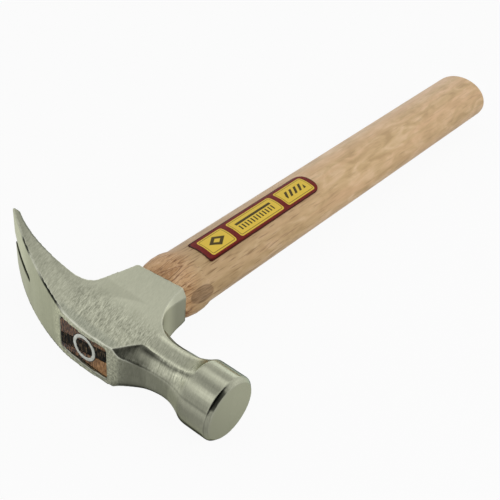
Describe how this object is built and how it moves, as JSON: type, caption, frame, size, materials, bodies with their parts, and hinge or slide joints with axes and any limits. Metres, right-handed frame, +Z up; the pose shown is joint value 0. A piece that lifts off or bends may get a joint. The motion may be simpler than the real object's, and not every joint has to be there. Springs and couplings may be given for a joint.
{
  "type": "rip claw hammer",
  "caption": "Rip claw hammer: forged steel head with round striking face and slotted claw, wedged on a wooden handle with an oval grip.",
  "frame": {"origin": "middle of the lowest plane of the hammer as it lies on its side", "axes": "+X along the head towards the striking face, +Y along the handle towards the butt, +Z up through the cheeks"},
  "size_m": [0.1456, 0.3308, 0.0366],
  "materials": {
    "head_steel": "satin",
    "ring_steel": "satin",
    "handle_wood": "satin",
    "wedge_wood": "matte",
    "label_paper": "gloss"
  },
  "bodies": {
    "root": {"head": "head_steel", "handle": "handle_wood", "wooden_wedge": "wedge_wood", "ring_wedge": "ring_steel", "handle_label": "label_paper"}
  },
  "joints": []
}
